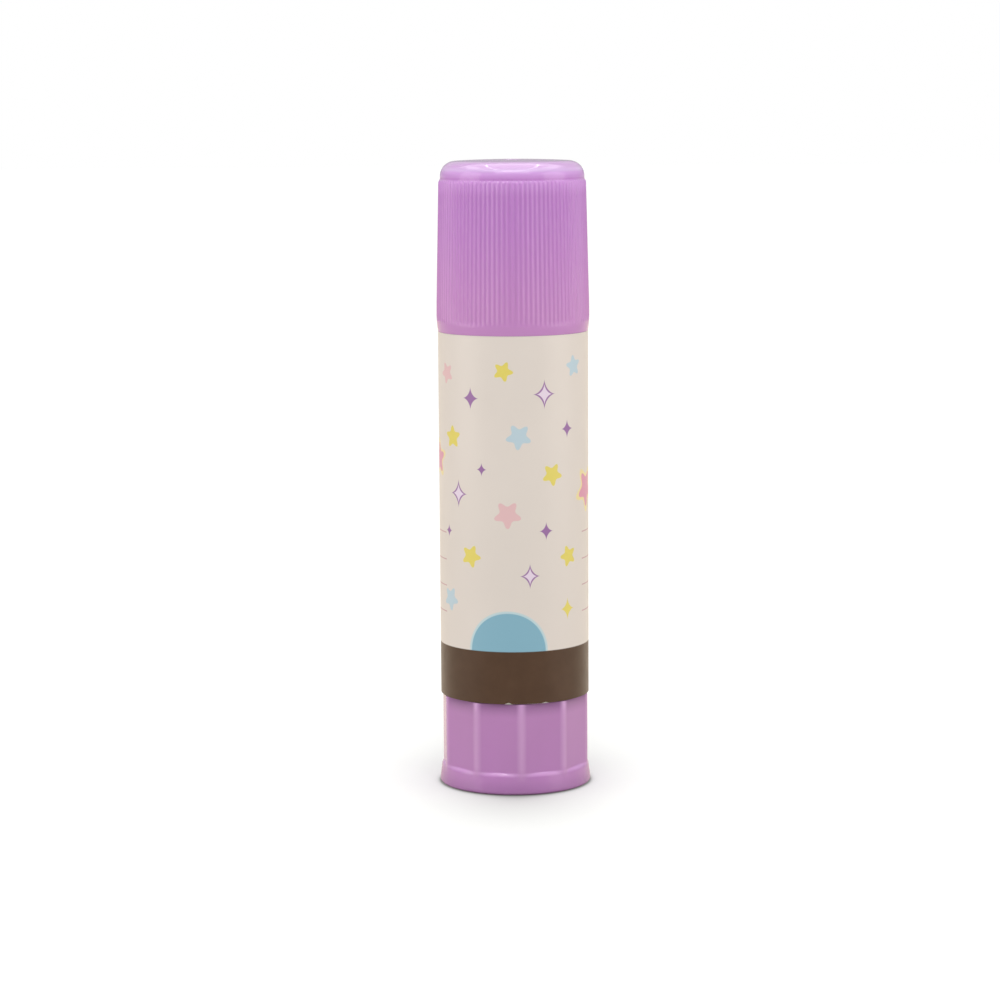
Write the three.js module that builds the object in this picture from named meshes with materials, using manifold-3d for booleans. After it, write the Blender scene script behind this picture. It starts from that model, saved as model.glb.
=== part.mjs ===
// Twist-up glue stick: ribbed cap, labelled barrel, fluted knob, lead screw, and a carrier with its glue.
// Millimetres, +Z up. The stick stands on its knob, its axis is Z and its front faces -Y.
import * as THREE from "three";
import { mergeVertices } from "three/addons/utils/BufferGeometryUtils.js";
import Module from "manifold-3d";

const wasm = await Module();
wasm.setup();

// Heights, from the table upwards
const knobHeight = 12.6;
const turnGap = 0.3; // running gap between the knob and the parts that it turns against
const bodyLength = 51.0; // labelled part of the barrel
const neckLength = 18.3; // part of the barrel that the cap covers
const rimGap = 0.3; // cap's rim above the barrel's shoulder
const capHeight = 23.55;

// Radii, from the glue outwards
const glueRadius = 7.95;
const boreClearance = 0.25;
const neckWall = 1.0;
const capFit = 0.22; // clearance between the neck and the cap
const capWall = 1.14; // at the floor of the ribs' grooves, by the skirt
const bodyWall = 2.14;
const bodyTaper = 0.03; // radius that the body loses from its shoulder to its foot

// Cap
const ribCount = 98;
const ribHeight = 0.14;
const ribTaper = 0.425; // radius that the ribbed wall loses from the skirt to the shoulder
const ribRunOut = 0.35;
const ribTopRound = 0.62; // the ribs lean in to the shoulder over this height
const skirtHeight = 1.4;
const skirtProud = 0.11; // the smooth skirt stands this far out from the grooves
const rimInset = 0.14; // radius that the skirt loses as it curves in to the rim
const rimRound = 0.1;
const shoulderHeight = 2.4;
const shoulderStep = 0.245; // from the ribs' crests in to the shoulder
const shoulderFillet = 2.2;
const crown = 0.2;
const topWall = 1.3;
const dimpleRadius = 1.2; // moulding gate in the middle of the cap's top
const dimpleDepth = 0.3;
const leadIn = 0.3;
const ceilingFillet = 1.6;
const sealWall = 0.7;
const sealClearance = 0.3;
const sealGap = 0.5; // seal ring above the glue

// Barrel
const footWall = 1.1; // wall round the recess that takes the knob's spigot
const recessDepth = 10.4;
const webThickness = 1.4; // floor of the bore, which the spindle hangs in
const guideCount = 4;
const guideHeight = 0.35;
const guideWidth = 1.2;
const guideInset = 4.5; // the guide ribs end this far below the mouth
const beadHeight = 0.12;
const beadWidth = 0.9;
const beadRise = 3.3; // snap bead above the shoulder
const edgeRound = 0.3;

// Label
const labelGap = 0.04;
const film = 0.12;
const labelLowInset = 0.05;
const labelHighInset = 0.1;
const lapLength = 3.2; // the label's end lies this far over its start

// Knob
const fluteCount = 10;
const ridgeTurn = 4.86; // degrees from the front to the nearest ridge
const ridgeRound = 0.9;
const facetInset = 0.435; // flat of a facet inside the barrel's label
const flangeHeight = 2.75;
const flangeProud = 0.22; // foot of the flange outside the barrel's label
const flangeFlare = 0.3;
const ledgeRise = 0.6; // the flange's top slopes in to the facets at 45 degrees over this height
const footRound = 0.25;
const knobWall = 1.15;
const knobFloor = 1.7;
const footWidth = 2.0; // flat ring that the stick stands on
const footRecess = 0.6;
const spigotWall = 1.0;
const spigotClearance = 0.25;
const spigotHeight = 8.2;
const hubWall = 1.4;
const spokeCount = 5;
const spokeThickness = 1.0;
const spokeHeight = 8.0;

// Spindle and its thread
const threadRadius = 2.6;
const threadDepth = 0.7;
const lead = 3.5;
const crestWidth = 0.8;
const flankWidth = 0.35;
const threadClearance = 0.3;
const threadSlack = 0.25; // along the axis, on each side of the thread
const collarRadius = 5.2;
const collarThickness = 1.2;
const journalRadius = 2.3;
const journalClearance = 0.25;
const stemFlats = 3.8; // hexagonal stem, across its flats
const stemLength = 13;
const socketClearance = 0.12;
const tipChamfer = 0.8;
const glueRoof = 3.5; // solid glue over the spindle's tip

// Carrier and glue
const cupHeight = 8;
const cupWall = 1.0;
const cupFloor = 1.2;
const nutWall = 1.4;
const guideClearance = 0.3;
const ventCount = 4;
const ventRadius = 0.7;
const castGap = 0.1; // between the glue and the cup that it is cast in
const glueInset = 2.0; // the glue ends this far below the barrel's mouth
const glueEdge = 0.4;

// Places that follow from the sizes above
const barrelLow = knobHeight + turnGap;
const shoulderZ = barrelLow + bodyLength;
const mouthZ = shoulderZ + neckLength;
const capLow = shoulderZ + rimGap;
const capHigh = capLow + capHeight;
const webLow = barrelLow + recessDepth;
const webHigh = webLow + webThickness;
const collarLow = webHigh + turnGap;
const collarHigh = collarLow + collarThickness;
const cupLow = collarHigh + turnGap;
const cupHigh = cupLow + cupHeight;
const glueLow = cupLow + cupFloor + castGap;
const glueHigh = mouthZ - glueInset;
const tipZ = glueHigh - glueRoof;

const boreRadius = glueRadius + boreClearance;
const neckRadius = boreRadius + neckWall;
const capBore = neckRadius + capFit;
const grooveLow = capBore + capWall;
const grooveHigh = grooveLow - ribTaper;
const skirtRadius = grooveLow + skirtProud;
const shoulderRadius = grooveHigh + ribHeight - shoulderStep;
const bodyRadius = boreRadius + bodyWall;
const footRadius = bodyRadius - bodyTaper;
const recessRadius = footRadius - footWall;
const labelRadius = footRadius + labelGap + film;
const facetRadius = labelRadius - facetInset;
const flangeRadius = labelRadius + flangeProud;
const nutRadius = threadRadius + threadClearance + nutWall;
const spindleBore = threadRadius + threadClearance;

// Mesh fineness
const roundSteps = Math.round(ribCount / 2); // one facet for two ribs
const threadSteps = 15;
const arcSteps = 2;

// A closed geometry as a solid, with its doubled vertices merged
function toSolid(geometry) {
  const bare = geometry.index ? geometry.toNonIndexed() : geometry.clone();
  bare.deleteAttribute("normal");
  bare.deleteAttribute("uv");
  const merged = mergeVertices(bare, 1e-5);
  const corners = merged.index.array;
  const kept = [];
  for (let i = 0; i < corners.length; i += 3) {
    const [a, b, c] = corners.slice(i, i + 3);
    if (a !== b && b !== c && c !== a) kept.push(a, b, c);
  }
  const vertProperties = new Float32Array(merged.attributes.position.array);
  return new wasm.Manifold(new wasm.Mesh({ numProp: 3, vertProperties, triVerts: new Uint32Array(kept) }));
}

// A named mesh from a solid
function piece(name, solid, color, roughness) {
  const { vertProperties, triVerts } = solid.getMesh();
  const geometry = new THREE.BufferGeometry();
  geometry.setAttribute("position", new THREE.BufferAttribute(vertProperties, 3));
  geometry.setIndex(new THREE.BufferAttribute(triVerts, 1));
  geometry.computeVertexNormals();
  const material = new THREE.MeshStandardMaterial({ color, roughness, metalness: 0 });
  const mesh = new THREE.Mesh(geometry, material);
  mesh.name = name;
  return mesh;
}

// A solid of revolution about Z. The outline is a path of radius and height that runs up the outside.
function revolve(path, steps = roundSteps) {
  return toSolid(new THREE.LatheGeometry(path.getPoints(arcSteps), steps).rotateX(Math.PI / 2));
}

// A path that starts at a point
function pathFrom(radius, height) {
  return new THREE.Path().moveTo(radius, height);
}

// A round bar or ring between two heights
function ring(inner, outer, low, high) {
  return revolve(pathFrom(inner, low).lineTo(outer, low).lineTo(outer, high).lineTo(inner, high).closePath());
}

// Copies of a shape spread evenly round the axis and joined into one solid
function around(count, geometry, firstTurn = 0) {
  let all = toSolid(geometry.clone().rotateZ(firstTurn));
  for (let i = 1; i < count; i += 1) {
    all = all.add(toSolid(geometry.clone().rotateZ(firstTurn + (2 * Math.PI * i) / count)));
  }
  return all;
}

// Shape of an upright bar that reaches outwards along +X
function radialBar(inner, outer, width, low, high) {
  const box = new THREE.BoxGeometry(outer - inner, width, high - low);
  return box.translate((inner + outer) / 2, 0, (low + high) / 2);
}

// Shape of an upright regular prism, round or hexagonal
function prism(radius, sides, low, high) {
  const bar = new THREE.CylinderGeometry(radius, radius, high - low, sides);
  return bar.rotateX(Math.PI / 2).translate(0, 0, (low + high) / 2);
}

// A left-handed threaded rod with ragged ends, to be trimmed by what it is cut from or cut by.
// Each turn of the helix has the same four edges: crest's two, and the feet of its two flanks.
function threadedRod(extraRadius, extraWidth, low, high) {
  const crest = threadRadius + extraRadius;
  const root = crest - threadDepth;
  const halfCrest = crestWidth / 2 + extraWidth;
  const halfFoot = halfCrest + flankWidth;
  const edges = [
    { radius: root, z: -halfFoot },
    { radius: crest, z: -halfCrest },
    { radius: crest, z: halfCrest },
    { radius: root, z: halfFoot },
  ];
  const firstTurn = Math.floor((low - cupLow) / lead) - 1;
  const lastTurn = Math.ceil((high - cupLow) / lead) + 2;
  const rows = (lastTurn - firstTurn) * edges.length;
  const points = [];
  const corners = [];
  for (let i = 0; i < threadSteps; i += 1) {
    const angle = (2 * Math.PI * i) / threadSteps;
    for (let row = 0; row < rows; row += 1) {
      const edge = edges[row % edges.length];
      const turn = firstTurn + Math.floor(row / edges.length) - i / threadSteps;
      const z = cupLow + turn * lead + edge.z;
      points.push(edge.radius * Math.cos(angle), edge.radius * Math.sin(angle), z);
    }
  }
  // One step past the last column is the first column, one turn lower
  const at = (i, row) => (i < threadSteps ? i * rows + row : row - edges.length);
  for (let i = 0; i < threadSteps; i += 1) {
    for (let row = edges.length; row < rows - 1; row += 1) {
      corners.push(at(i, row), at(i + 1, row), at(i + 1, row + 1));
      corners.push(at(i, row), at(i + 1, row + 1), at(i, row + 1));
    }
  }
  // Each ragged end closes on a point of the axis
  const lowPoint = points.length / 3;
  const highPoint = lowPoint + 1;
  points.push(0, 0, cupLow + (firstTurn + 0.5) * lead, 0, 0, cupLow + (lastTurn - 1) * lead);
  for (let i = 0; i < threadSteps; i += 1) {
    corners.push(lowPoint, at(i + 1, edges.length), at(i, edges.length));
    corners.push(highPoint, at(i, rows - 1), at(i + 1, rows - 1));
  }
  for (let row = 0; row < edges.length; row += 1) {
    corners.push(lowPoint, row + 1, row);
    corners.push(highPoint, rows - 1 - edges.length + row, rows - edges.length + row);
  }
  const geometry = new THREE.BufferGeometry();
  geometry.setAttribute("position", new THREE.Float32BufferAttribute(points, 3));
  geometry.setIndex(corners);
  return toSolid(geometry);
}

// Radius of the barrel's body at a height: it tapers a little towards its foot
function bodyRadiusAt(z) {
  return footRadius + (bodyTaper * (z - barrelLow)) / bodyLength;
}

// Bars where the barrel's guide ribs are, made wider and deeper by a clearance
function guideBars(clearance, low, high) {
  const inner = boreRadius - guideHeight - clearance;
  const bar = radialBar(inner, boreRadius + neckWall / 2, guideWidth + 2 * clearance, low, high);
  return around(guideCount, bar, Math.PI / guideCount);
}

// Barrel: body and neck in one tube, a web across its bore, and a recess under the web for the knob's spigot
function makeBarrel() {
  const bead = shoulderZ + beadRise;
  const outline = pathFrom(recessRadius, barrelLow)
    .lineTo(footRadius - edgeRound / 2, barrelLow)
    .lineTo(footRadius, barrelLow + edgeRound / 2)
    .lineTo(bodyRadius, shoulderZ - edgeRound)
    .quadraticCurveTo(bodyRadius, shoulderZ, bodyRadius - edgeRound, shoulderZ)
    .lineTo(neckRadius, shoulderZ)
    .lineTo(neckRadius, bead - beadWidth / 2)
    .lineTo(neckRadius + beadHeight, bead - beadWidth / 6)
    .lineTo(neckRadius + beadHeight, bead + beadWidth / 6)
    .lineTo(neckRadius, bead + beadWidth / 2)
    .lineTo(neckRadius, mouthZ - edgeRound)
    .quadraticCurveTo(neckRadius, mouthZ, neckRadius - edgeRound, mouthZ)
    .lineTo(boreRadius + edgeRound / 2, mouthZ)
    .lineTo(boreRadius, mouthZ - edgeRound / 2)
    .lineTo(boreRadius, webHigh)
    .lineTo(journalRadius + journalClearance, webHigh)
    .lineTo(journalRadius + journalClearance, webLow)
    .lineTo(recessRadius, webLow)
    .closePath();
  return revolve(outline).add(guideBars(0, webHigh - webThickness / 2, mouthZ - guideInset));
}

// Label: one turn of film that climbs over its own start, then follows the barrel's taper
function makeLabel() {
  const low = barrelLow + labelLowInset;
  const high = shoulderZ - labelHighInset;
  const step = (2 * Math.PI) / roundSteps;
  const lap = lapLength / labelRadius;
  const inner = footRadius + labelGap;
  const lapRise = film + labelGap;
  const turns = Array.from({ length: roundSteps - 1 }, (_, i) => ({ angle: i * step, radius: inner }));
  turns.push({ angle: 2 * Math.PI, radius: inner + lapRise });
  turns.push({ angle: 2 * Math.PI + lap / 2, radius: inner + lapRise });
  turns.push({ angle: 2 * Math.PI + lap, radius: inner + lapRise });
  const point = ({ angle, radius }, rise) => {
    const back = angle + Math.PI / 2 - lap / 2;
    return new THREE.Vector2((radius + rise) * Math.cos(back), (radius + rise) * Math.sin(back));
  };
  const outline = turns.map((turn) => point(turn, 0)).reverse();
  const outside = turns.map((turn) => point(turn, film));
  const shape = new THREE.Shape(outside.concat(outline));
  const strip = new THREE.ExtrudeGeometry(shape, { depth: high - low, bevelEnabled: false });
  strip.translate(0, 0, low);
  const place = strip.attributes.position;
  for (let i = 0; i < place.count; i += 1) {
    const radius = Math.hypot(place.getX(i), place.getY(i));
    const scale = (radius + bodyRadiusAt(place.getZ(i)) - footRadius) / radius;
    place.setXY(i, place.getX(i) * scale, place.getY(i) * scale);
  }
  return toSolid(strip);
}

// Wall of fine round ribs: rows of points whose radius waves in and out, closed by a plain inner side
function ribbedWall() {
  const low = capLow + skirtHeight;
  const high = capHigh - shoulderHeight;
  const grooveAt = (z) => grooveHigh + (ribTaper * (high - z)) / (high - low);
  const shares = [0, 1, 1]; // of the rib's height: the floor of its groove, then the two edges of its crest
  const rows = [
    { z: low - ribRunOut / 2, groove: grooveAt(low), rib: ribHeight },
    { z: high - ribTopRound, groove: grooveAt(high - ribTopRound), rib: ribHeight },
    { z: high, groove: shoulderRadius - ribHeight / 2, rib: ribHeight },
    { z: high, groove: capBore + capWall / 4, rib: 0 },
    { z: low - ribRunOut / 2, groove: capBore + capWall / 4, rib: 0 },
  ];
  const columns = ribCount * shares.length;
  const points = [];
  for (const row of rows) {
    for (let i = 0; i < columns; i += 1) {
      const angle = (2 * Math.PI * i) / columns;
      const radius = row.groove + row.rib * shares[i % shares.length];
      points.push(radius * Math.cos(angle), radius * Math.sin(angle), row.z);
    }
  }
  const corners = [];
  for (let r = 0; r < rows.length; r += 1) {
    const here = r * columns;
    const above = ((r + 1) % rows.length) * columns;
    for (let i = 0; i < columns; i += 1) {
      const next = (i + 1) % columns;
      corners.push(here + i, here + next, above + next, here + i, above + next, above + i);
    }
  }
  const geometry = new THREE.BufferGeometry();
  geometry.setAttribute("position", new THREE.Float32BufferAttribute(points, 3));
  geometry.setIndex(corners);
  return toSolid(geometry);
}

// Cap: ribbed shell with a smooth skirt, a rounded shoulder, a seal ring under its roof and a snap groove
function makeCap() {
  const ribTop = capHigh - shoulderHeight;
  const ribLow = capLow + skirtHeight;
  const skirtTop = ribLow - ribRunOut / 2;
  const under = ribHeight; // the smooth core lies this far inside the grooves
  const roof = capHigh - topWall;
  const dimpleFloor = capHigh + crown - dimpleDepth;
  const grooveZ = shoulderZ + beadRise;
  const sealOuter = boreRadius - sealClearance;
  const outline = pathFrom(0, roof)
    .lineTo(sealOuter - sealWall, roof)
    .lineTo(sealOuter - sealWall, glueHigh + sealGap)
    .lineTo(sealOuter - sealWall / 2, glueHigh + sealGap)
    .lineTo(sealOuter, glueHigh + sealGap + sealWall)
    .lineTo(sealOuter, roof)
    .lineTo(capBore - ceilingFillet / 2, roof)
    .lineTo(capBore, roof - ceilingFillet)
    .lineTo(capBore, grooveZ + beadWidth)
    .lineTo(capBore + beadHeight, grooveZ + beadWidth / 3)
    .lineTo(capBore + beadHeight, grooveZ - beadWidth / 3)
    .lineTo(capBore, grooveZ - beadWidth)
    .lineTo(capBore, capLow + leadIn * 2)
    .lineTo(capBore + leadIn, capLow)
    .lineTo(skirtRadius - rimInset - rimRound, capLow)
    .lineTo(skirtRadius - rimInset, capLow + rimRound)
    .quadraticCurveTo(skirtRadius - rimInset / 3, capLow + skirtHeight / 2, skirtRadius, skirtTop)
    .lineTo(grooveLow - under, ribLow + ribRunOut)
    .lineTo(grooveHigh - under, ribTop - ribTopRound)
    .lineTo(shoulderRadius, ribTop - ribTopRound / 4)
    .lineTo(shoulderRadius, capHigh - shoulderFillet)
    .absarc(shoulderRadius - shoulderFillet, capHigh - shoulderFillet, shoulderFillet, 0, Math.PI / 2)
    .lineTo(dimpleRadius, capHigh + crown)
    .lineTo(dimpleRadius - dimpleDepth, dimpleFloor)
    .lineTo(0, dimpleFloor);
  return revolve(outline).add(ribbedWall());
}

// Knob's plan: flat facets that meet in round ridges
function flutedShape() {
  const half = Math.PI / fluteCount;
  const centre = (facetRadius - ridgeRound) / Math.cos(half);
  const shape = new THREE.Shape();
  for (let i = 0; i < fluteCount; i += 1) {
    const angle = THREE.MathUtils.degToRad(ridgeTurn - 90) + 2 * half * i;
    shape.absarc(centre * Math.cos(angle), centre * Math.sin(angle), ridgeRound, angle - half, angle + half);
  }
  return shape;
}

// Knob: fluted cup with a flange at its foot, a spigot that turns in the barrel's recess, and a spoked hub
function makeKnob() {
  const wallInner = facetRadius - knobWall;
  const spigotOuter = recessRadius - spigotClearance;
  const spigotInner = spigotOuter - spigotWall;
  const spigotTop = knobHeight + spigotHeight;
  const hubTop = webLow - turnGap;
  const socketRadius = stemFlats / 2 / Math.cos(Math.PI / 6) + socketClearance;
  const hubRadius = socketRadius + hubWall;
  const fluteLow = 2 * footRecess; // the ridges run down inside the flange until its flare covers them
  const ledgeInner = flangeRadius - flangeFlare - ledgeRise;
  const flutes = new THREE.ExtrudeGeometry(flutedShape(), {
    depth: knobHeight - fluteLow,
    bevelEnabled: false,
    curveSegments: 2 * arcSteps,
  });
  const flange = pathFrom(0, footRecess)
    .lineTo(flangeRadius - footWidth - footRecess, footRecess)
    .lineTo(flangeRadius - footWidth, 0)
    .lineTo(flangeRadius - footRound, 0)
    .quadraticCurveTo(flangeRadius, 0, flangeRadius, footRound)
    .lineTo(flangeRadius - flangeFlare, flangeHeight)
    .lineTo(ledgeInner, flangeHeight + ledgeRise)
    .lineTo(0, flangeHeight + ledgeRise);
  const spigot = ring(spigotInner, spigotOuter, knobHeight - knobWall, spigotTop);
  const hollow = pathFrom(0, knobFloor)
    .lineTo(wallInner - edgeRound, knobFloor)
    .lineTo(wallInner, knobFloor + edgeRound)
    .lineTo(wallInner, knobHeight - 2 * knobWall)
    .lineTo(spigotInner, knobHeight - knobWall)
    .lineTo(spigotInner, spigotTop + turnGap)
    .lineTo(0, spigotTop + turnGap);
  const rooted = knobFloor - footRecess / 2; // hub and spokes start inside the floor
  const hub = prism(hubRadius, 2 * threadSteps, rooted, hubTop);
  const spoke = radialBar(0, wallInner + knobWall / 4, spokeThickness, rooted, spokeHeight);
  const socket = prism(socketRadius, 6, hubTop - stemLength, hubTop + turnGap);
  return toSolid(flutes.translate(0, 0, fluteLow))
    .add(revolve(flange))
    .add(spigot)
    .subtract(revolve(hollow))
    .add(toSolid(hub))
    .add(around(spokeCount, spoke))
    .subtract(toSolid(socket));
}

// Spindle: hexagonal stem, journal in the web's hole, collar over the web, and the lead screw up to its tip
function makeSpindle() {
  const root = threadRadius - threadDepth;
  const hubTop = webLow - turnGap;
  const trim = pathFrom(0, collarHigh - collarThickness / 2)
    .lineTo(threadRadius + threadDepth, collarHigh - collarThickness / 2)
    .lineTo(threadRadius + threadDepth, tipZ - tipChamfer - threadDepth)
    .lineTo(root - tipChamfer / 2, tipZ)
    .lineTo(0, tipZ);
  const collar = pathFrom(0, hubTop)
    .lineTo(journalRadius, hubTop)
    .lineTo(journalRadius, collarLow)
    .lineTo(collarRadius, collarLow)
    .lineTo(collarRadius, collarHigh)
    .lineTo(0, collarHigh);
  const stemRadius = stemFlats / 2 / Math.cos(Math.PI / 6);
  const stem = prism(stemRadius, 6, hubTop - stemLength + turnGap, hubTop + turnGap);
  return threadedRod(0, 0, collarLow, tipZ)
    .intersect(revolve(trim))
    .add(revolve(collar, Math.round(roundSteps / 2)))
    .add(toSolid(stem));
}

// Carrier: cup for the glue with a nut hub, vents that the glue keys into, and notches for the guide ribs
function makeCarrier() {
  const outline = pathFrom(0, cupLow)
    .lineTo(glueRadius, cupLow)
    .lineTo(glueRadius, cupHigh)
    .lineTo(glueRadius - cupWall, cupHigh)
    .lineTo(glueRadius - cupWall, cupLow + cupFloor)
    .lineTo(nutRadius, cupLow + cupFloor)
    .lineTo(nutRadius, cupHigh)
    .lineTo(0, cupHigh);
  const ventAt = (nutRadius + glueRadius - cupWall) / 2;
  const vent = prism(ventRadius, threadSteps, cupLow - cupFloor, cupLow + 2 * cupFloor);
  vent.translate(ventAt, 0, 0);
  return revolve(outline)
    .subtract(threadedRod(threadClearance, threadSlack, cupLow - lead, cupHigh + lead))
    .subtract(around(ventCount, vent))
    .subtract(guideBars(guideClearance, cupLow - cupFloor, cupHigh + cupFloor));
}

// Glue: cast in the cup and in the bore above it, hollow round the spindle, grooved by the guide ribs
function makeGlue() {
  const outline = pathFrom(nutRadius + castGap, glueLow)
    .lineTo(glueRadius - cupWall - castGap, glueLow)
    .lineTo(glueRadius - cupWall - castGap, cupHigh + castGap)
    .lineTo(glueRadius, cupHigh + castGap)
    .lineTo(glueRadius, glueHigh - glueEdge)
    .lineTo(glueRadius - glueEdge, glueHigh)
    .lineTo(0, glueHigh)
    .lineTo(0, tipZ + threadClearance)
    .lineTo(spindleBore, tipZ + threadClearance)
    .lineTo(spindleBore, cupHigh + castGap)
    .lineTo(nutRadius + castGap, cupHigh + castGap)
    .closePath();
  return revolve(outline).subtract(guideBars(guideClearance, cupLow, mouthZ));
}

const capColor = 0xba83bf;
const knobColor = 0xaf7db0;
const innerWhite = 0xeceae4;

const gluestick = new THREE.Group();
gluestick.add(
  piece("base_knob", makeKnob(), knobColor, 0.35),
  piece("spindle", makeSpindle(), innerWhite, 0.4),
  piece("barrel", makeBarrel(), innerWhite, 0.35),
  piece("label", makeLabel(), 0xe0d7cc, 0.45),
  piece("carrier", makeCarrier(), innerWhite, 0.4),
  piece("glue_stick", makeGlue(), 0xf2efe6, 0.55),
  piece("cap", makeCap(), capColor, 0.35),
);

export default gluestick;
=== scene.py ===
"""Looks of a twist-up glue stick: ribbed lavender cap, printed label on a white barrel, fluted lavender knob.

Shapes are worked out in millimetres from the fixed frame and turned into metres when a mesh is made.
Angles round the stick start at its front, which faces -Y, and grow towards +X.
"""

import math

import bpy
import numpy as np
from mathutils import Matrix, Vector


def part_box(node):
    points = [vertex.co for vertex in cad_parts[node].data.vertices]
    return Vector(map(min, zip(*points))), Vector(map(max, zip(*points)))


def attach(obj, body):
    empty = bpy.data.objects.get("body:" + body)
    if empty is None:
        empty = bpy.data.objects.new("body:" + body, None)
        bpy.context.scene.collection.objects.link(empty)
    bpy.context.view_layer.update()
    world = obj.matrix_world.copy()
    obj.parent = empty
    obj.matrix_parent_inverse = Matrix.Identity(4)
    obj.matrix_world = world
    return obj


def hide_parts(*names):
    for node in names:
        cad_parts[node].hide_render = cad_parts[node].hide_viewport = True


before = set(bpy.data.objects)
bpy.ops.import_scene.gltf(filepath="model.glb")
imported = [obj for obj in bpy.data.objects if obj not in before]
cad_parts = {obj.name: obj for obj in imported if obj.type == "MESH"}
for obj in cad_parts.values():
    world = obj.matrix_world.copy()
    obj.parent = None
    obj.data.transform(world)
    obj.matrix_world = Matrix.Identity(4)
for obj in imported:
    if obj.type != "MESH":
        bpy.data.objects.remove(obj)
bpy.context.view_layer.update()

MM = 0.001


def node_span(node):
    """Lowest height, highest height and outer radius of a CAD node, in millimetres."""
    low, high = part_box(node)
    return low.z / MM, high.z / MM, max(-low.y, high.x) / MM


# Heights and radii that the frame gives
CAP_LOW, CAP_TOP, CAP_RADIUS = node_span("cap")
LABEL_LOW, _, LABEL_RADIUS = node_span("label")
BARREL_LOW, MOUTH, BARREL_RADIUS = node_span("barrel")
KNOB_LOW, SPIGOT_TOP, FLANGE_RADIUS = node_span("base_knob")
_, CUP_TOP, _ = node_span("carrier")
GLUE_LOW, GLUE_TOP, GLUE_RADIUS = node_span("glue_stick")
STEM_LOW, TIP, _ = node_span("spindle")

# Edges that the moulded pieces share
EDGE_BREAK = 0.1
EDGE_ROUND = 0.15
SHARP_ANGLE = math.radians(35)

# Cap's outside
RIBS = 98
RIB_COLUMNS = 8
RIB_DEPTH = 0.13
RIB_TAPER = 0.42
RIB_START = 1.0
RIB_LOW = CAP_LOW + RIB_START
RIB_RUN_OUT = 1.1
RIB_TOP_DROP = 2.72
RIB_TOP = CAP_TOP - RIB_TOP_DROP
RIB_TOP_LEAN = 0.62
RIB_TOP_TURN = math.radians(62)
BULGE_RISE = 2.7
BULGE = CAP_LOW + BULGE_RISE
RIM_INSET = 0.2
RIM_ROUND = 0.025
RIM_REACH = 0.06
RIM = CAP_LOW - RIM_REACH
SHOULDER_RADIUS = 10.07
SHOULDER_FILLET = 2.12
CROWN = 0.2
CROWN_RINGS = (7.4, 6.5, 5.5, 4.5, 3.5, 2.6, 1.8)
DIMPLE_RADIUS = 1.2
DIMPLE_DEPTH = 0.35
DIMPLE_FALL = 0.01

# Cap's inside
TOP_WALL = 1.3
ROOF_FILLET = 1.2
LEAD_IN = 0.3
LEAD_IN_RISE = 0.7
SEAL_WALL = 0.7
SEAL_LIP = 0.25
SEAL_FILLET = 0.2
SEAL_CLEARANCE = 0.3
SEAL_GAP = 0.5

# Snap bead of the neck, and its groove in the cap
BEAD_RISE = 3.0
BEAD = CAP_LOW + BEAD_RISE
BEAD_HEIGHT = 0.12
BEAD_WIDTH = 0.9

# Barrel
BORE_CLEARANCE = 0.25
BORE_RADIUS = GLUE_RADIUS + BORE_CLEARANCE
NECK_WALL = 1.0
NECK_RADIUS = BORE_RADIUS + NECK_WALL
CAP_FIT = 0.22
CAP_BORE = NECK_RADIUS + CAP_FIT
SEAM_GAP = 0.008
SHOULDER = RIM - SEAM_GAP
SHOULDER_ROUND = 0.1
MOUTH_ROUND = 0.3
BODY_TAPER = 0.03
FOOT_RADIUS = BARREL_RADIUS - BODY_TAPER
FOOT_EDGE = 0.06
FOOT_WALL = 1.1
FOOT_CHAMFER = 0.12
RECESS_RADIUS = FOOT_RADIUS - FOOT_WALL
WEB_RISE = 10.4
WEB_LOW = BARREL_LOW + WEB_RISE
WEB_THICKNESS = 1.4
WEB_TOP = WEB_LOW + WEB_THICKNESS
JOURNAL_HOLE = 2.55
GUIDES = 4
GUIDE_HEIGHT = 0.35
GUIDE_WIDTH = 1.2
GUIDE_FLANK = 0.12
GUIDE_LEAD_IN = 0.3
GUIDE_DROP = 4.5
GUIDE_TOP = MOUTH - GUIDE_DROP

# Glue
GROOVE_DEPTH_FIT = 0.05
GROOVE_WIDTH_FIT = 0.6
HUB_BORE = 4.4
SCREW_BORE = 2.9
CUP_WALL = 1.1
CUP_STEP = 0.1
TIP_ROOM = 0.3
GLUE_ROUND = 0.5
ROUND_STEP = math.radians(12)
DISH = 0.25

# Label, whose rows are shares of its height and whose nicks are pairs of angle and depth
FILM = 0.12
FILM_GAP = 0.04
FILM_COLUMNS = 420
FILM_ROWS = (0.0, 0.006, 0.02, 0.08, 0.2, 0.4, 0.6, 0.8, 0.92, 0.98, 0.994, 1.0)
LAP = 3.2
NICKS = ((-0.086, 0.2), (0.417, 0.13), (1.9, 0.1), (-2.3, 0.14))
NICK_WIDTH = 0.36
CUT_WAVE = 0.01
TOP_GAP = 0.005

# Angle before the whole turn at which the film starts to climb over its start, and angle of the climb
LAP_START = 0.16
LAP_RAMP = 0.14

# Knob, whose columns stand at the ridges and at degrees to either side of them
FLUTES = 10
RIDGE_TURN = math.radians(4.86)
RIDGE_ROUND = 1.3
RIDGE_OFFSETS = [0.3, 0.6, 0.9, 1.2, 1.52, 2.0, 3.0, 5.0, 8.0, 11.5, 15.0]
FACET_INSET = 0.435
FACET_RADIUS = FOOT_RADIUS + FILM + FILM_GAP - FACET_INSET
KNOB_GAP = 0.05
KNOB_TOP = BARREL_LOW - KNOB_GAP
KNOB_BEVEL = 0.12
KNOB_WALL = 1.15
KNOB_FLOOR = 1.7
FLOOR_FILLET = 0.4
FLANGE_TOP = 2.75
FLANGE_FLARE = 0.3
LEDGE_RISE = 0.6
LEDGE_ROUND = 0.3
WALL_FILLET = 0.06
FOOT_ROUND = 0.4
FOOT_WIDTH = 2.0
FOOT_BEVEL = 0.2
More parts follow.
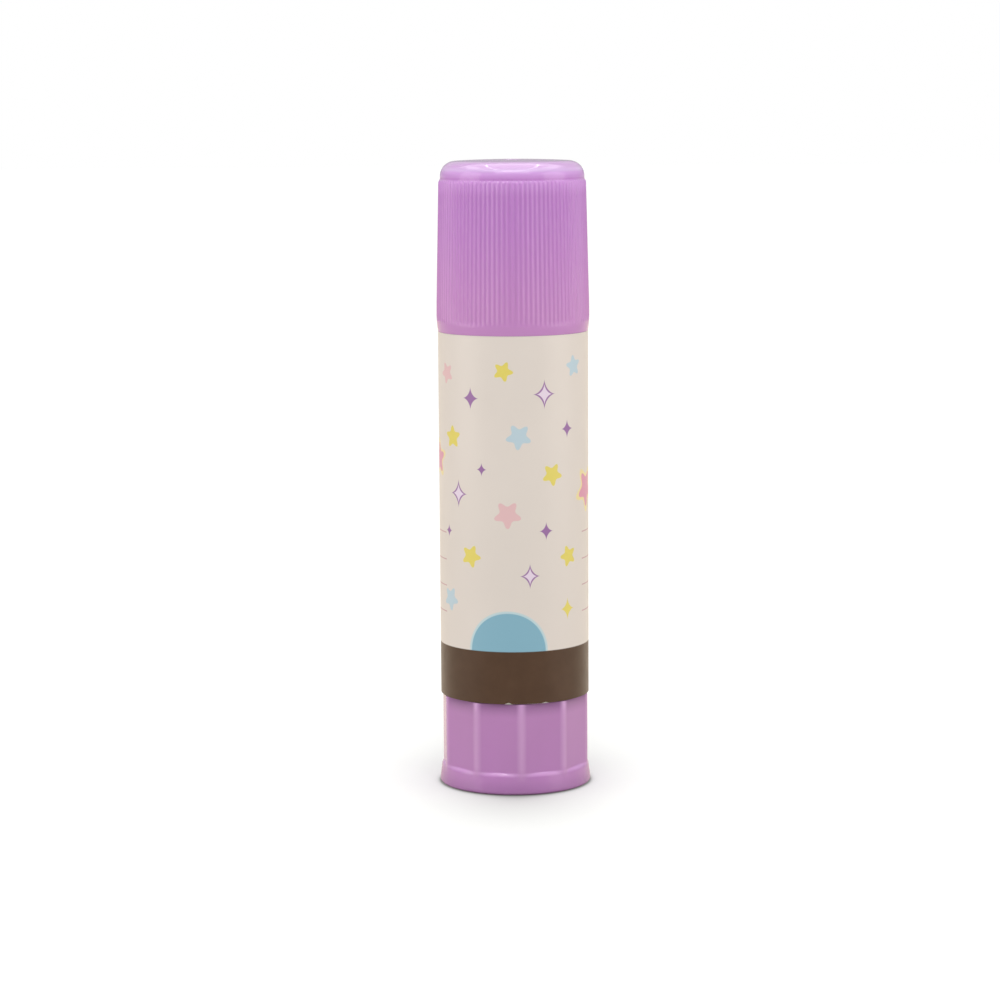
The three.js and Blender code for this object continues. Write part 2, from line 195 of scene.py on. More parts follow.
FOOT_BEVEL_RISE = 0.08
FOOT_RECESS = 0.6
RECESS_SLOPE = 0.9
RECESS_FILLET = 0.2
SPIGOT_FIT = 0.25
SPIGOT_RADIUS = RECESS_RADIUS - SPIGOT_FIT
SPIGOT_WALL = 1.0
SPIGOT_LEAD_IN = 0.25
SPIGOT_LEAD_IN_RISE = 0.3
HUB_RADIUS = 3.7
HUB_FILLET = 0.3
HUB_GAP = 0.3
SOCKET_RADIUS = 2.32
SOCKET_ROOM = 0.3
SPOKES = 5
SPOKE_THICKNESS = 1.0
SPOKE_TOP = 8.0
SPOKE_SINK = 0.2

# Print on the label. An edge is how much a mask rises for each millimetre across a printed outline
PRINT_EDGE = 9.0
BAND_TOP = 20.3
DISC_RADIUS = 5.4
DISC_PLACE = -0.95
HALO_WIDTH = 0.3
HALO_EDGE = 5.0
RULE_HEIGHTS = (36.3, 32.5, 28.8, 25.1)
RULE_START = 11.8
RULE_HALF_WIDTH = 0.07
RULE_EDGE = 14.0
OUTLINE_INSIDE = 0.72
BADGE_REACH = 1.3

# Surfaces: depth of relief, refraction, spread of light inside, and usual values of noise
SKIN_RELIEF = 0.0005
MOULD_RELIEF = 0.004
FILM_RELIEF = 0.02
WAX_RELIEF = 0.04
PLASTIC_IOR = 1.49
FILM_IOR = 1.42
PLASTIC_SPREAD = (1.2 * MM, 0.7 * MM, 1.2 * MM)
WAX_SPREAD = (3.0 * MM, 2.5 * MM, 2.0 * MM)
NOISE_ROUGHNESS = 0.55
NOISE_LOW = 0.3
NOISE_HIGH = 0.7

# Painted highlight along the knob's ridges, painted shade at its foot and under the label, and the polished
# top of the cap, measured down from the highest tint
CREST_WIDTH = 0.85
CREST_FADE = 1
FOOT_SHADE = 0.35
SEAM_SHADE = 2.2
POLISH_START = 2
POLISH_FULL = 1

# Lamps
WHITE = (1.0, 1.0, 1.0)
WARM = (1.0, 0.92, 0.87)
CEILING_HEIGHT = 392
OVERHEAD_HEIGHT = 388
STRIP_HEIGHT = 386
STRIP_WIDTH = 12
STRIP_RADIANCE = 9
AIM_HEIGHT = 88


def even(columns):
    """Angles spread evenly round the stick."""
    return 2 * math.pi * np.arange(columns) / columns


def arc(centre, radius, start, end, steps):
    """Points of (radius, height) along an arc, with angles in degrees from the outward side."""
    turns = [math.radians(start + (end - start) * i / steps) for i in range(steps + 1)]
    return [(centre[0] + radius * math.cos(t), centre[1] + radius * math.sin(t)) for t in turns]


def add_object(name, data):
    """An object of the scene with the data given."""
    added = bpy.data.objects.new(name, data)
    bpy.context.scene.collection.objects.link(added)
    return added


def finish_mesh(name, vertices, faces):
    """An object with smooth faces, and sharp edges where they meet at more than the sharp angle."""
    mesh = bpy.data.meshes.new(name)
    mesh.from_pydata([tuple(c * MM for c in v) for v in vertices], [], faces)
    mesh.validate()
    mesh.shade_smooth()
    mesh.set_sharp_from_angle(angle=SHARP_ANGLE)
    return add_object(name, mesh)


def turned(name, rows, angles, closed=False):
    """A surface turned round Z. Each row is a radius, or one radius for each angle, and a height.

    Rows run up the outside. A row of radius 0 is a pole. A closed outline joins its last row to its first.
    """
    columns = len(angles)
    vertices = []
    rings = []
    for radius, height in rows:
        first = len(vertices)
        if np.isscalar(radius) and radius == 0:
            vertices.append((0.0, 0.0, height))
            rings.append([first] * columns)
            continue
        reach = np.broadcast_to(radius, columns)
        vertices.extend(zip(reach * np.sin(angles), -reach * np.cos(angles), [height] * columns))
        rings.append(list(range(first, first + columns)))
    pairs = list(zip(rings, rings[1:]))
    if closed:
        pairs.append((rings[-1], rings[0]))
    faces = []
    for low, high in pairs:
        for i in range(columns):
            j = (i + 1) % columns
            corners = [low[i], low[j], high[j], high[i]]
            faces.append(tuple(dict.fromkeys(corners)))
    return finish_mesh(name, vertices, faces)


def bead_rows(radius, span, steps):
    """Rows over the snap bead's half wave, from below with a positive span and from above with a negative."""
    rows = []
    for k in range(steps + 1):
        swell = BEAD_HEIGHT * math.sin(math.pi * k / steps)
        rows.append((radius + swell, BEAD + span * (k / steps - 0.5)))
    return rows


def cap_inside():
    """Rows from the middle of the cap's roof out over the seal ring and down the bore to the rim."""
    roof = CAP_TOP - CROWN - TOP_WALL
    seal = BORE_RADIUS - SEAL_CLEARANCE
    seal_inner = seal - SEAL_WALL
    seal_low = GLUE_TOP + SEAL_GAP
    lip = seal_low + SEAL_LIP
    mouth = CAP_BORE + LEAD_IN
    rows = [(0, roof), (seal_inner, roof), (seal_inner, lip)]
    rows += arc((seal_inner + SEAL_LIP, lip), SEAL_LIP, 180, 300, 6)
    rows += [(seal, seal_low + SEAL_WALL), (seal, roof - SEAL_FILLET), (seal + SEAL_FILLET, roof)]
    rows += arc((CAP_BORE - ROOF_FILLET, roof - ROOF_FILLET), ROOF_FILLET, 90, 0, 6)
    rows += bead_rows(CAP_BORE, -2 * BEAD_WIDTH, 6)
    rows += [(CAP_BORE, CAP_LOW + LEAD_IN_RISE), (mouth, RIM + EDGE_BREAK), (mouth + EDGE_BREAK, RIM)]
    return rows


def crest_radius(height):
    """Radius over the cap's ribs, which is largest at the bulge, tapers above it and curves in below it."""
    if height > BULGE:
        return CAP_RADIUS - RIB_TAPER * (height - BULGE) / (RIB_TOP - BULGE)
    return CAP_RADIUS - RIM_INSET * ((BULGE - height) / (BULGE - CAP_LOW)) ** 2


def cap_wall(angles):
    """Rows up the cap's outside: rim, smooth skirt, ribs that run out into it, and their lean at the top."""
    ribs = RIB_DEPTH * (0.5 - 0.5 * np.cos(angles * RIBS))
    lean_low = RIB_TOP - RIB_TOP_LEAN
    lean = crest_radius(lean_low) - SHOULDER_RADIUS
    steps = 8
    rows = arc((crest_radius(CAP_LOW) - RIM_ROUND, RIM + RIM_ROUND), RIM_ROUND, -90, 0, 5)
    rows += [(crest_radius(h), h) for h in np.linspace(CAP_LOW, RIB_LOW, steps)]
    for k in range(1, steps + 1):
        height = RIB_LOW + RIB_RUN_OUT * k / steps
        share = 0.5 - 0.5 * math.cos(math.pi * k / steps)
        rows.append((crest_radius(height) - share * ribs, height))
    rows += [(crest_radius(h) - ribs, h) for h in np.linspace(RIB_LOW + RIB_RUN_OUT, lean_low, 12)[1:]]
    for k in range(1, steps + 1):
        turn = RIB_TOP_TURN * k / steps
        share = 1 - (1 - math.cos(turn)) / (1 - math.cos(RIB_TOP_TURN))
        height = lean_low + RIB_TOP_LEAN * math.sin(turn) / math.sin(RIB_TOP_TURN)
        rows.append((SHOULDER_RADIUS + lean * share - ribs * share, height))
    return rows


def cap_crown():
    """Rows over the cap's top: round shoulder, shallow dome and the small dimple in its middle."""
    dome_radius = SHOULDER_RADIUS - SHOULDER_FILLET
    lip = CAP_TOP - DIMPLE_FALL - EDGE_ROUND
    floor = CAP_TOP - DIMPLE_DEPTH
    rows = arc((dome_radius, CAP_TOP - CROWN - SHOULDER_FILLET), SHOULDER_FILLET, 0, 84, 18)
    rows += [(r, CAP_TOP - CROWN * (r / dome_radius) ** 2) for r in CROWN_RINGS]
    rows += arc((DIMPLE_RADIUS + EDGE_ROUND, lip), EDGE_ROUND, 90, 180, 4)
    rows += arc((DIMPLE_RADIUS - EDGE_ROUND, floor + EDGE_ROUND), EDGE_ROUND, 0, -90, 4)
    rows += [(0, floor)]
    return rows


def make_cap():
    """Ribbed shell with a smooth skirt and a domed top, and the seal ring and snap groove inside it."""
    angles = even(RIBS * RIB_COLUMNS)
    return turned("cap_shell", cap_inside() + cap_wall(angles) + cap_crown(), angles)


def flute_angles():
    """Angles round the knob, close together at each ridge."""
    before = [-180 / FLUTES] + [-offset for offset in reversed(RIDGE_OFFSETS)]
    offsets = np.radians(before + [0.0] + RIDGE_OFFSETS)
    turns = [RIDGE_TURN + 2 * math.pi * k / FLUTES + offsets for k in range(FLUTES)]
    return np.concatenate(turns)


def ridge_radius(angles):
    """Distance from the axis to the fluted wall: flat facets that meet in round ridges."""
    half = math.pi / FLUTES
    off = np.abs((angles - RIDGE_TURN + half) % (2 * half) - half)
    centre = (FACET_RADIUS - RIDGE_ROUND) / math.cos(half)
    flat = FACET_RADIUS / np.cos(half - off)
    inside = np.clip(RIDGE_ROUND**2 - (centre * np.sin(off)) ** 2, 0, None)
    rounded = centre * np.cos(off) + np.sqrt(inside)
    edge = math.atan2(RIDGE_ROUND * math.sin(half), centre + RIDGE_ROUND * math.cos(half))
    return np.where(off < edge, rounded, flat)


def blended_max(a, b, reach):
    """The larger of two radii, with a fillet where they are within reach of each other."""
    gap = np.clip(0.5 + 0.5 * (a - b) / reach, 0, 1)
    return b * (1 - gap) + a * gap + reach * gap * (1 - gap)


def flange_radius(height):
    """Distance from the axis to the flange's flared side, and to the 45 degree ledge over it."""
    flare = FLANGE_RADIUS - FLANGE_FLARE * (height - FOOT_ROUND) / (FLANGE_TOP - FOOT_ROUND)
    ledge = FLANGE_RADIUS - FLANGE_FLARE - (height - FLANGE_TOP)
    return -blended_max(-flare, -ledge, LEDGE_ROUND)


def knob_outside(walls):
    """Rows from the recessed floor out round the foot, up the flange and ledge, and up the fluted wall."""
    foot = FLANGE_RADIUS - FOOT_WIDTH
    slope = foot - RECESS_SLOPE
    rows = [(0, FOOT_RECESS), (slope - RECESS_FILLET, FOOT_RECESS)]
    rows += arc((slope, FOOT_RECESS - RECESS_FILLET), RECESS_FILLET, 90, 30, 3)
    rows += [(foot - FOOT_BEVEL, FOOT_BEVEL_RISE), (foot, 0.0)]
    rows += arc((FLANGE_RADIUS - FOOT_ROUND, FOOT_ROUND), FOOT_ROUND, -90, 0, 6)
    ledge_low = FLANGE_TOP - LEDGE_RISE
    ledge_top = FLANGE_TOP + LEDGE_RISE
    heights = list(np.linspace(FOOT_ROUND, ledge_low, 8)[1:])
    heights += list(np.linspace(ledge_low, ledge_top, 33)[1:])
    heights += list(np.linspace(ledge_top + LEDGE_ROUND, KNOB_TOP - KNOB_BEVEL, 6))
    rows += [(blended_max(walls, flange_radius(h), WALL_FILLET), h) for h in heights]
    rows += [(walls - KNOB_BEVEL / 3, KNOB_TOP - KNOB_BEVEL / 4), (walls - KNOB_BEVEL, KNOB_TOP)]
    return rows


def knob_inside():
    """Rows up the spigot, down inside it to the knob's floor, up the hub and down into the stem's socket."""
    wall = FACET_RADIUS - KNOB_WALL
    corner = 0.3 * FLOOR_FILLET
    inner = SPIGOT_RADIUS - SPIGOT_WALL
    hub_top = WEB_LOW - HUB_GAP
    socket_low = STEM_LOW - SOCKET_ROOM
    rows = [(SPIGOT_RADIUS + EDGE_BREAK, KNOB_TOP), (SPIGOT_RADIUS, KNOB_TOP + EDGE_BREAK)]
    rows += [(SPIGOT_RADIUS, SPIGOT_TOP - SPIGOT_LEAD_IN_RISE), (SPIGOT_RADIUS - SPIGOT_LEAD_IN, SPIGOT_TOP)]
    rows += [(inner + EDGE_ROUND, SPIGOT_TOP), (inner, SPIGOT_TOP - EDGE_ROUND)]
    rows += [(inner, KNOB_TOP - KNOB_WALL), (wall, KNOB_TOP - 2 * KNOB_WALL)]
    rows += [(wall, KNOB_FLOOR + FLOOR_FILLET), (wall - corner, KNOB_FLOOR + corner)]
    rows += [(wall - FLOOR_FILLET, KNOB_FLOOR)]
    rows += [(HUB_RADIUS + HUB_FILLET, KNOB_FLOOR), (HUB_RADIUS, KNOB_FLOOR + HUB_FILLET)]
    rows += [(HUB_RADIUS, hub_top - EDGE_ROUND), (HUB_RADIUS - EDGE_ROUND, hub_top)]
    rows += [(SOCKET_RADIUS + EDGE_BREAK, hub_top), (SOCKET_RADIUS, hub_top - EDGE_BREAK)]
    rows += [(SOCKET_RADIUS, socket_low), (0, socket_low)]
    return rows


def make_knob():
    """Fluted cup with a flange at its foot, a spigot that turns in the barrel, and a hub for the stem."""
    angles = flute_angles()
    return turned("knob_shell", knob_outside(ridge_radius(angles)) + knob_inside(), angles)


def make_spoke(turn):
    """One of the webs that join the knob's hub to its wall."""
    inner = HUB_RADIUS - SPOKE_SINK
    outer = FACET_RADIUS - KNOB_WALL + SPOKE_SINK
    half = SPOKE_THICKNESS / 2
    spun = Matrix.Rotation(turn, 3, "Z")
    heights = (KNOB_FLOOR - SPOKE_SINK, SPOKE_TOP)
    corners = [spun @ Vector((x, y, z)) for z in heights for y in (-half, half) for x in (inner, outer)]
    faces = [(0, 2, 3, 1), (4, 5, 7, 6), (0, 1, 5, 4), (2, 6, 7, 3), (0, 4, 6, 2), (1, 3, 7, 5)]
    return finish_mesh("knob_spoke", corners, faces)


def guide_shape(angles, height, width):
    """How far each guide rib stands in from the bore."""
    half = math.pi / GUIDES
    off = np.abs(angles % (2 * half) - half) * BORE_RADIUS
    return height * np.clip((width / 2 - off) / GUIDE_FLANK + 0.5, 0, 1)


def body_radius(height):
    """Radius of the barrel's body, which tapers a little towards its foot."""
    return FOOT_RADIUS + BODY_TAPER * (height - BARREL_LOW) / (SHOULDER - BARREL_LOW)


def make_barrel():
    """White tube: body, neck with a snap bead, guide ribs, and a web across the bore for the spindle."""
    angles = even(360)
    guides = guide_shape(angles, GUIDE_HEIGHT, GUIDE_WIDTH)
    top = body_radius(SHOULDER)
    rows = [(RECESS_RADIUS, BARREL_LOW + FOOT_CHAMFER), (RECESS_RADIUS + FOOT_CHAMFER, BARREL_LOW)]
    rows += arc((FOOT_RADIUS - FOOT_EDGE, BARREL_LOW + FOOT_EDGE), FOOT_EDGE, -90, 0, 3)
    rows += arc((top - SHOULDER_ROUND, SHOULDER - SHOULDER_ROUND), SHOULDER_ROUND, 0, 90, 6)
    rows += [(NECK_RADIUS + EDGE_ROUND, SHOULDER), (NECK_RADIUS, SHOULDER + EDGE_ROUND)]
    rows += bead_rows(NECK_RADIUS, BEAD_WIDTH, 8)
    rows += arc((NECK_RADIUS - MOUTH_ROUND, MOUTH - MOUTH_ROUND), MOUTH_ROUND, 0, 90, 6)
    rows += arc((BORE_RADIUS + EDGE_ROUND, MOUTH - EDGE_ROUND), EDGE_ROUND, 90, 180, 4)
    rows += [(BORE_RADIUS, GUIDE_TOP + GUIDE_LEAD_IN), (BORE_RADIUS - guides, GUIDE_TOP)]
    rows += [(BORE_RADIUS - guides, WEB_TOP), (JOURNAL_HOLE, WEB_TOP)]
    rows += [(JOURNAL_HOLE, WEB_LOW), (RECESS_RADIUS, WEB_LOW)]
    return turned("barrel_tube", rows, angles, closed=True)


def make_glue():
    """Cast stick of adhesive, grooved by the guide ribs, with a dished top and a bore round the spindle."""
    angles = even(288)
    grooves = guide_shape(angles, GUIDE_HEIGHT + GROOVE_DEPTH_FIT, GUIDE_WIDTH + GROOVE_WIDTH_FIT)
    cup = GLUE_RADIUS - CUP_WALL
    ledge = CUP_TOP + CUP_STEP
    roof = TIP + TIP_ROOM
    steps = 8
    rows = [(HUB_BORE, GLUE_LOW), (cup, GLUE_LOW), (cup, ledge)]
    rows += [(GLUE_RADIUS - grooves, ledge), (GLUE_RADIUS - grooves, GLUE_TOP - GLUE_ROUND)]
    for k in range(1, steps):
        turn = ROUND_STEP * k
        share = math.cos(turn)
        height = GLUE_TOP - GLUE_ROUND * (1 - math.sin(turn))
        rows.append((GLUE_RADIUS - GLUE_ROUND * (1 - share) - grooves * share, height))
    for k in range(1, steps):
        sunk = DISH * math.sin(math.pi / 2 * k / steps)
        rows.append(((GLUE_RADIUS - GLUE_ROUND) * (1 - k / steps), GLUE_TOP - sunk))
    rows += [(0, GLUE_TOP - DISH), (0, roof), (SCREW_BORE, roof), (SCREW_BORE, ledge), (HUB_BORE, ledge)]
    return turned("glue_mass", rows, angles, closed=True)


def film_edges(angles):
    """Heights of the film's lower and upper cut edges, which waver a little, and the lower one's nicks."""
    low = LABEL_LOW + CUT_WAVE * (1.2 * np.sin(3 * angles + 1) + np.sin(8 * angles) - 1)
    for turn, depth in NICKS:
        off = (angles - turn + math.pi) % (2 * math.pi) - math.pi
        low = low + depth * np.exp(-((off * LABEL_RADIUS / NICK_WIDTH) ** 2))
    top = SHOULDER - TOP_GAP - CUT_WAVE * np.sin(2 * angles) ** 2
    return low, top


def make_label():
    """One turn of film whose end laps over its start at the back."""
    lap = LAP / LABEL_RADIUS
    turns = np.linspace(0, 2 * math.pi + lap, FILM_COLUMNS)
    angles = math.pi - lap / 2 + turns
    ramp = np.clip((turns - 2 * math.pi + LAP_START) / LAP_RAMP, 0, 1)
    rise = (FILM + FILM_GAP) * ramp * ramp * (3 - 2 * ramp)
    low, top = film_edges(angles)
    vertices = []
    for side in (0.0, FILM):
        for share in FILM_ROWS:
            height = low + (top - low) * share
            radius = body_radius(height) + FILM_GAP + rise + side
            vertices.extend(zip(radius * np.sin(angles), -radius * np.cos(angles), height))
    faces = []
    last = len(FILM_ROWS) - 1
    end = FILM_COLUMNS - 1

    def at(side, row, column):
        return (side * len(FILM_ROWS) + row) * FILM_COLUMNS + column

    for i in range(end):
        for row in range(last):
            faces.append((at(1, row, i), at(1, row, i + 1), at(1, row + 1, i + 1), at(1, row + 1, i)))
            faces.append((at(0, row, i), at(0, row + 1, i), at(0, row + 1, i + 1), at(0, row, i + 1)))
        faces.append((at(0, 0, i), at(0, 0, i + 1), at(1, 0, i + 1), at(1, 0, i)))
        faces.append((at(0, last, i), at(1, last, i), at(1, last, i + 1), at(0, last, i + 1)))
    for row in range(last):
        faces.append((at(0, row, 0), at(1, row, 0), at(1, row + 1, 0), at(0, row + 1, 0)))
        faces.append((at(0, row, end), at(0, row + 1, end), at(1, row + 1, end), at(1, row, end)))
    return finish_mesh("label_wrap", vertices, faces)


class Graph:
    """Short ways to add to a node tree."""

    def __init__(self, tree):
        self.tree = tree

    def add(self, kind, inputs=(), **settings):
        """A node with its settings and inputs. An input is a value or another node's output."""
        node = self.tree.nodes.new(kind)
        for key, value in settings.items():
            setattr(node, key, value)
        for key, value in dict(inputs).items():
            self.set(node.inputs[key], value)
        return node

    def set(self, socket, value):
        if isinstance(value, bpy.types.NodeSocket):
            self.tree.links.new(value, socket)
        else:
            socket.default_value = value

    def math(self, operation, *values, clamp=False):
        node = self.add("ShaderNodeMath", dict(enumerate(values)), operation=operation, use_clamp=clamp)
        return node.outputs[0]

    def length(self, a, b):
        """Length of a line whose parts across and up are a and b."""
        return self.math("SQRT", self.math("ADD", self.math("MULTIPLY", a, a), self.math("MULTIPLY", b, b)))

    def mix(self, share, a, b):
        """A colour between a and b."""
        node = self.add("ShaderNodeMix", data_type="RGBA")
        for key, value in (("Factor", share), ("A", a), ("B", b)):
            sockets = [s for s in node.inputs if s.name == key and s.enabled]
            self.set(sockets[0], value)
        return [s for s in node.outputs if s.enabled][0]

    def spread(self, value, start, end, low=0.0, high=1.0, **settings):
        """The value's run from start to end, stretched to run from low to high and held there beyond."""
        inputs = {"Value": value, "From Min": start, "From Max": end, "To Min": low, "To Max": high}
        return self.add("ShaderNodeMapRange", inputs, **settings).outputs[0]

    def place(self):
        """Position on the piece, in metres, that moves with it."""
        return self.add("ShaderNodeTexCoord").outputs["Object"]

    def axes(self):
        """The position's parts along X, Y and Z."""
        return self.add("ShaderNodeSeparateXYZ", {0: self.place()}).outputs

    def turn_round(self, axes):
        """Angle round the stick from its front."""
        return self.math("ARCTAN2", axes[0], self.math("MULTIPLY", axes[1], -1.0))

    def noise(self, scale, detail=3.0, stretch=(1, 1, 1)):
        """Noise whose scale is in features for each metre."""
        mapping = self.add("ShaderNodeMapping", {"Vector": self.place(), "Scale": stretch})
        inputs = {"Vector": mapping.outputs[0], "Scale": scale, "Detail": detail}
        inputs["Roughness"] = NOISE_ROUGHNESS
        return self.add("ShaderNodeTexNoise", inputs).outputs["Fac"]

    def between(self, noise, low, high):
        """Noise stretched so that its usual values run from low to high."""
        return self.spread(noise, NOISE_LOW, NOISE_HIGH, low, high)

    def bump(self, height, relief, below=None):
        """A normal for relief of the height and depth given, over another normal where there is one."""
        inputs = {"Height": height, "Distance": relief * MM, "Strength": 1.0}
        if below is not None:
            inputs["Normal"] = below
        return self.add("ShaderNodeBump", inputs).outputs[0]

    def seen_rays(self, in_gloss):
        """1 for camera and transmission rays, the share given for glossy rays, and 0 for the others."""
        rays = self.add("ShaderNodeLightPath").outputs
        seen = self.math("MAXIMUM", rays["Is Camera Ray"], rays["Is Transmission Ray"])
        return self.math("MAXIMUM", seen, self.math("MULTIPLY", rays["Is Glossy Ray"], in_gloss))


class Surface(Graph):
    """A material with its node tree and its shader."""

    def __init__(self, name):
        self.material = bpy.data.materials.new(name)
        self.material.use_nodes = True
        super().__init__(self.material.node_tree)
        self.shader = self.tree.nodes["Principled BSDF"]

    def shade(self, inputs):
        """Sets the shader's own sockets, each to a value or to another node's output."""
        for key, value in inputs.items():
            self.set(self.shader.inputs[key], value)


def linear(red, green, blue):
    """A colour given in screen values of 0 to 255, as a shader's linear values, by the sRGB curve."""
    parts = [c / 255 for c in (red, green, blue)]
    return tuple(c / 12.92 if c <= 0.04045 else ((c + 0.055) / 1.055) ** 2.4 for c in parts) + (1.0,)


# Colours of the plastics and the glue
CAP_SKIRT = linear(194, 135, 196)
CAP_SHADE = linear(187, 127, 200)
# Painted light and shade on the cap: light on the lean of the rib tops, shade in the crease over them, and
# light from above on the shoulder, the round and the crown
CAP_LEAN_PAINTED_LIGHT = linear(202, 146, 215)
CAP_CREASE_PAINTED_SHADE = linear(190, 130, 202)
CAP_SHOULDER_PAINTED_LIGHT = linear(202, 148, 215)
CAP_ROUND_PAINTED_LIGHT = linear(209, 161, 224)
CAP_PALE_PAINTED_LIGHT = linear(213, 181, 228)
CAP_CROWN_PAINTED_LIGHT = linear(207, 166, 218)
# Painted shade where the knob's foot and flange come near the floor
KNOB_FOOT_PAINTED_SHADE = linear(152, 117, 149)
KNOB_FLANGE_PAINTED_SHADE = linear(170, 116, 174)
KNOB_SIDE = linear(185, 129, 188)
KNOB_WALL_TINT = linear(185, 129, 187)
# Painted highlight on the ledge, painted shade under the label's edge, and painted highlight along the ridges
KNOB_LEDGE_PAINTED_HIGHLIGHT = linear(206, 154, 210)
KNOB_SEAM_PAINTED_SHADE = linear(154, 106, 155)
KNOB_CREST_PAINTED_HIGHLIGHT = linear(201, 153, 202)
BARREL_FOOT_WHITE = linear(236, 232, 224)
MOUTH_WHITE = linear(238, 235, 228)
STEM_WHITE = linear(232, 231, 226)
TIP_WHITE = linear(236, 235, 231)
GLUE_WHITE = linear(240, 236, 226)
GLUE_CLOUD = linear(231, 226, 212)

# Colours of the print
FILM_WHITE = linear(225, 216, 208)
FILM_SHADE = linear(221, 212, 204)
BAND_BROWN = linear(67, 42, 23)
BAND_WORN = linear(75, 50, 32)
DISC_BLUE = linear(132, 178, 197)
HALO_BLUE = linear(190, 214, 220)
YELLOW = linear(226, 210, 104)
PINK = linear(226, 188, 190)
BLUE = linear(188, 208, 218)
PURPLE = linear(152, 108, 162)
PALE_VIOLET = linear(230, 214, 230)
CREAM = linear(236, 219, 160)
ROSE = linear(220, 150, 176)
RULE = linear(196, 150, 158)

# Ornaments on one half of the label, repeated on the other: kind, across, height, size, turn and colour
ORNAMENTS = [
    ("star", -11.2, 58.7, 1.5, 0.5, PINK),
    ("sparkle", -6.3, 55.5, 1.6, 0, PURPLE),
    ("star", -1.4, 59.3, 1.4, 0.1, YELLOW),
    ("outline", 4.4, 56.1, 2.1, 0, PURPLE),
    ("star", 9.6, 59.7, 1.5, 0.8, BLUE),
    ("star", -9.8, 49.9, 1.6, 0.9, YELLOW),
    ("star", 0.7, 50.3, 1.8, 0.4, BLUE),
    ("sparkle", 8.2, 51.1, 1.3, 0, PURPLE),
    ("sparkle", -4.6, 45.7, 0.95, 0, PURPLE),
    ("star", 5.6, 44.9, 1.6, 0.2, YELLOW),
    ("outline", -8.6, 42.1, 2.0, 0, PURPLE),
    ("star", -0.9, 39.5, 1.95, 0.3, PINK),
    ("sparkle", 4.6, 37.1, 1.3, 0, PURPLE),
    ("star", 8.4, 33.3, 1.5, 0.6, YELLOW),
    ("star", -6.4, 33.5, 1.6, 0.1, YELLOW),
    ("sparkle", -10.9, 36.7, 0.95, 0, PURPLE),
    ("outline", 2.2, 30.9, 1.8, 0, PURPLE),
    ("star", -10.6, 27.1, 1.7, 0.2, BLUE),
    ("sparkle", 8.2, 25.9, 1.6, 0, YELLOW),
    ("badge", 13.4, 42.3, 2.6, 0.3, ROSE),
    ("badge", -14.6, 46.5, 2.2, 0.9, ROSE),
]


def ridge_highlight_mask(g):
    """Where the painted highlight goes: 1 along the top of each of the knob's ridges and 0 beside it, fading
    out over the flange's top.
    """
    axes = g.axes()
    half = math.pi / FLUTES
    off = g.math("WRAP", g.math("SUBTRACT", g.turn_round(axes), RIDGE_TURN), half, -half)
    reach = CREST_WIDTH / FACET_RADIUS
    across = g.spread(g.math("ABSOLUTE", off), 0.0, reach, 1.0, 0.0, interpolation_type="SMOOTHSTEP")
    above = g.spread(axes[2], (FLANGE_TOP - CREST_FADE) * MM, (FLANGE_TOP + CREST_FADE) * MM)
    return g.math("MULTIPLY", across, above)


def height_tint(g, height, tints):
    """A colour that runs from tint to tint with height."""
    low, high = tints[0][0], tints[-1][0]
    ramp = g.add("ShaderNodeValToRGB", {"Fac": g.spread(height, low * MM, high * MM)})
    ramp.color_ramp.interpolation = "EASE"
    stops = ramp.color_ramp.elements
    for place, _ in tints[1:-1]:
        stops.new((place - low) / (high - low))
    for stop, (_, color) in zip(stops, tints):
        stop.color = color
    return ramp.outputs["Color"]


def moulded_plastic(name, tints, roughness, glow, crest_highlight=None, polish=0.0):
    """Moulded plastic: a tint that shifts with height, faint clouds, an uneven gloss and a fine skin.

    Tints are pairs of height and colour, from the lowest up; on the cap and the knob they hold painted light
    and shade. With a highlight colour, the knob's ridges are painted paler along them. The highest part is
    smoother by the polish.
    """
    cloud_share = 0.12
    smoother = 0.03
    duller = 0.04
    g = Surface(name)
    height = g.axes()[2]
    top = tints[-1][0]
    tint = height_tint(g, height, tints)
    # The highlight colour is a painted highlight along the knob's ridges
    if crest_highlight:
        tint = g.mix(ridge_highlight_mask(g), tint, crest_highlight)
    clouds = g.between(g.noise(190, stretch=(1, 1, 0.35)), 0.0, cloud_share)
    smooth = g.spread(height, (top - POLISH_START) * MM, (top - POLISH_FULL) * MM)
    uneven = g.between(g.noise(900), roughness - smoother, roughness + duller)
    skin = g.bump(g.noise(4500, detail=2), SKIN_RELIEF)
    g.shade({
        "Base Color": g.mix(clouds, tint, tints[0][1]),
        "Roughness": g.math("MULTIPLY_ADD", smooth, -polish, uneven),
        "Normal": g.bump(g.noise(300, detail=2), MOULD_RELIEF, skin),
        "Subsurface Weight": glow,
        "Subsurface Radius": PLASTIC_SPREAD,
        "Subsurface Scale": 1.0,
        "IOR": PLASTIC_IOR,
    })
    return g.material


def cap_material():
    """Lavender, with painted light on the rib tops' lean and from above on the shoulder and crown, and
    painted shade in the crease over the ribs.
    """
    # From the lean of the rib tops up: a painted highlight on the lean, painted shade in the crease, and
    # painted light from above over the shoulder, round and crown
    below_top = [
        (5.1, CAP_SHADE),
        (2.8, CAP_LEAN_PAINTED_LIGHT),
        (2.5, CAP_CREASE_PAINTED_SHADE),
        (2.25, CAP_SHOULDER_PAINTED_LIGHT),
        (1.65, CAP_ROUND_PAINTED_LIGHT),
        (1.3, CAP_PALE_PAINTED_LIGHT),
        (0.8, CAP_CROWN_PAINTED_LIGHT),
    ]
    tints = [(CAP_LOW, CAP_SKIRT)] + [(CAP_TOP - drop, tint) for drop, tint in below_top]
    return moulded_plastic("cap_lavender", tints, roughness=0.14, glow=0.2, polish=0.06)


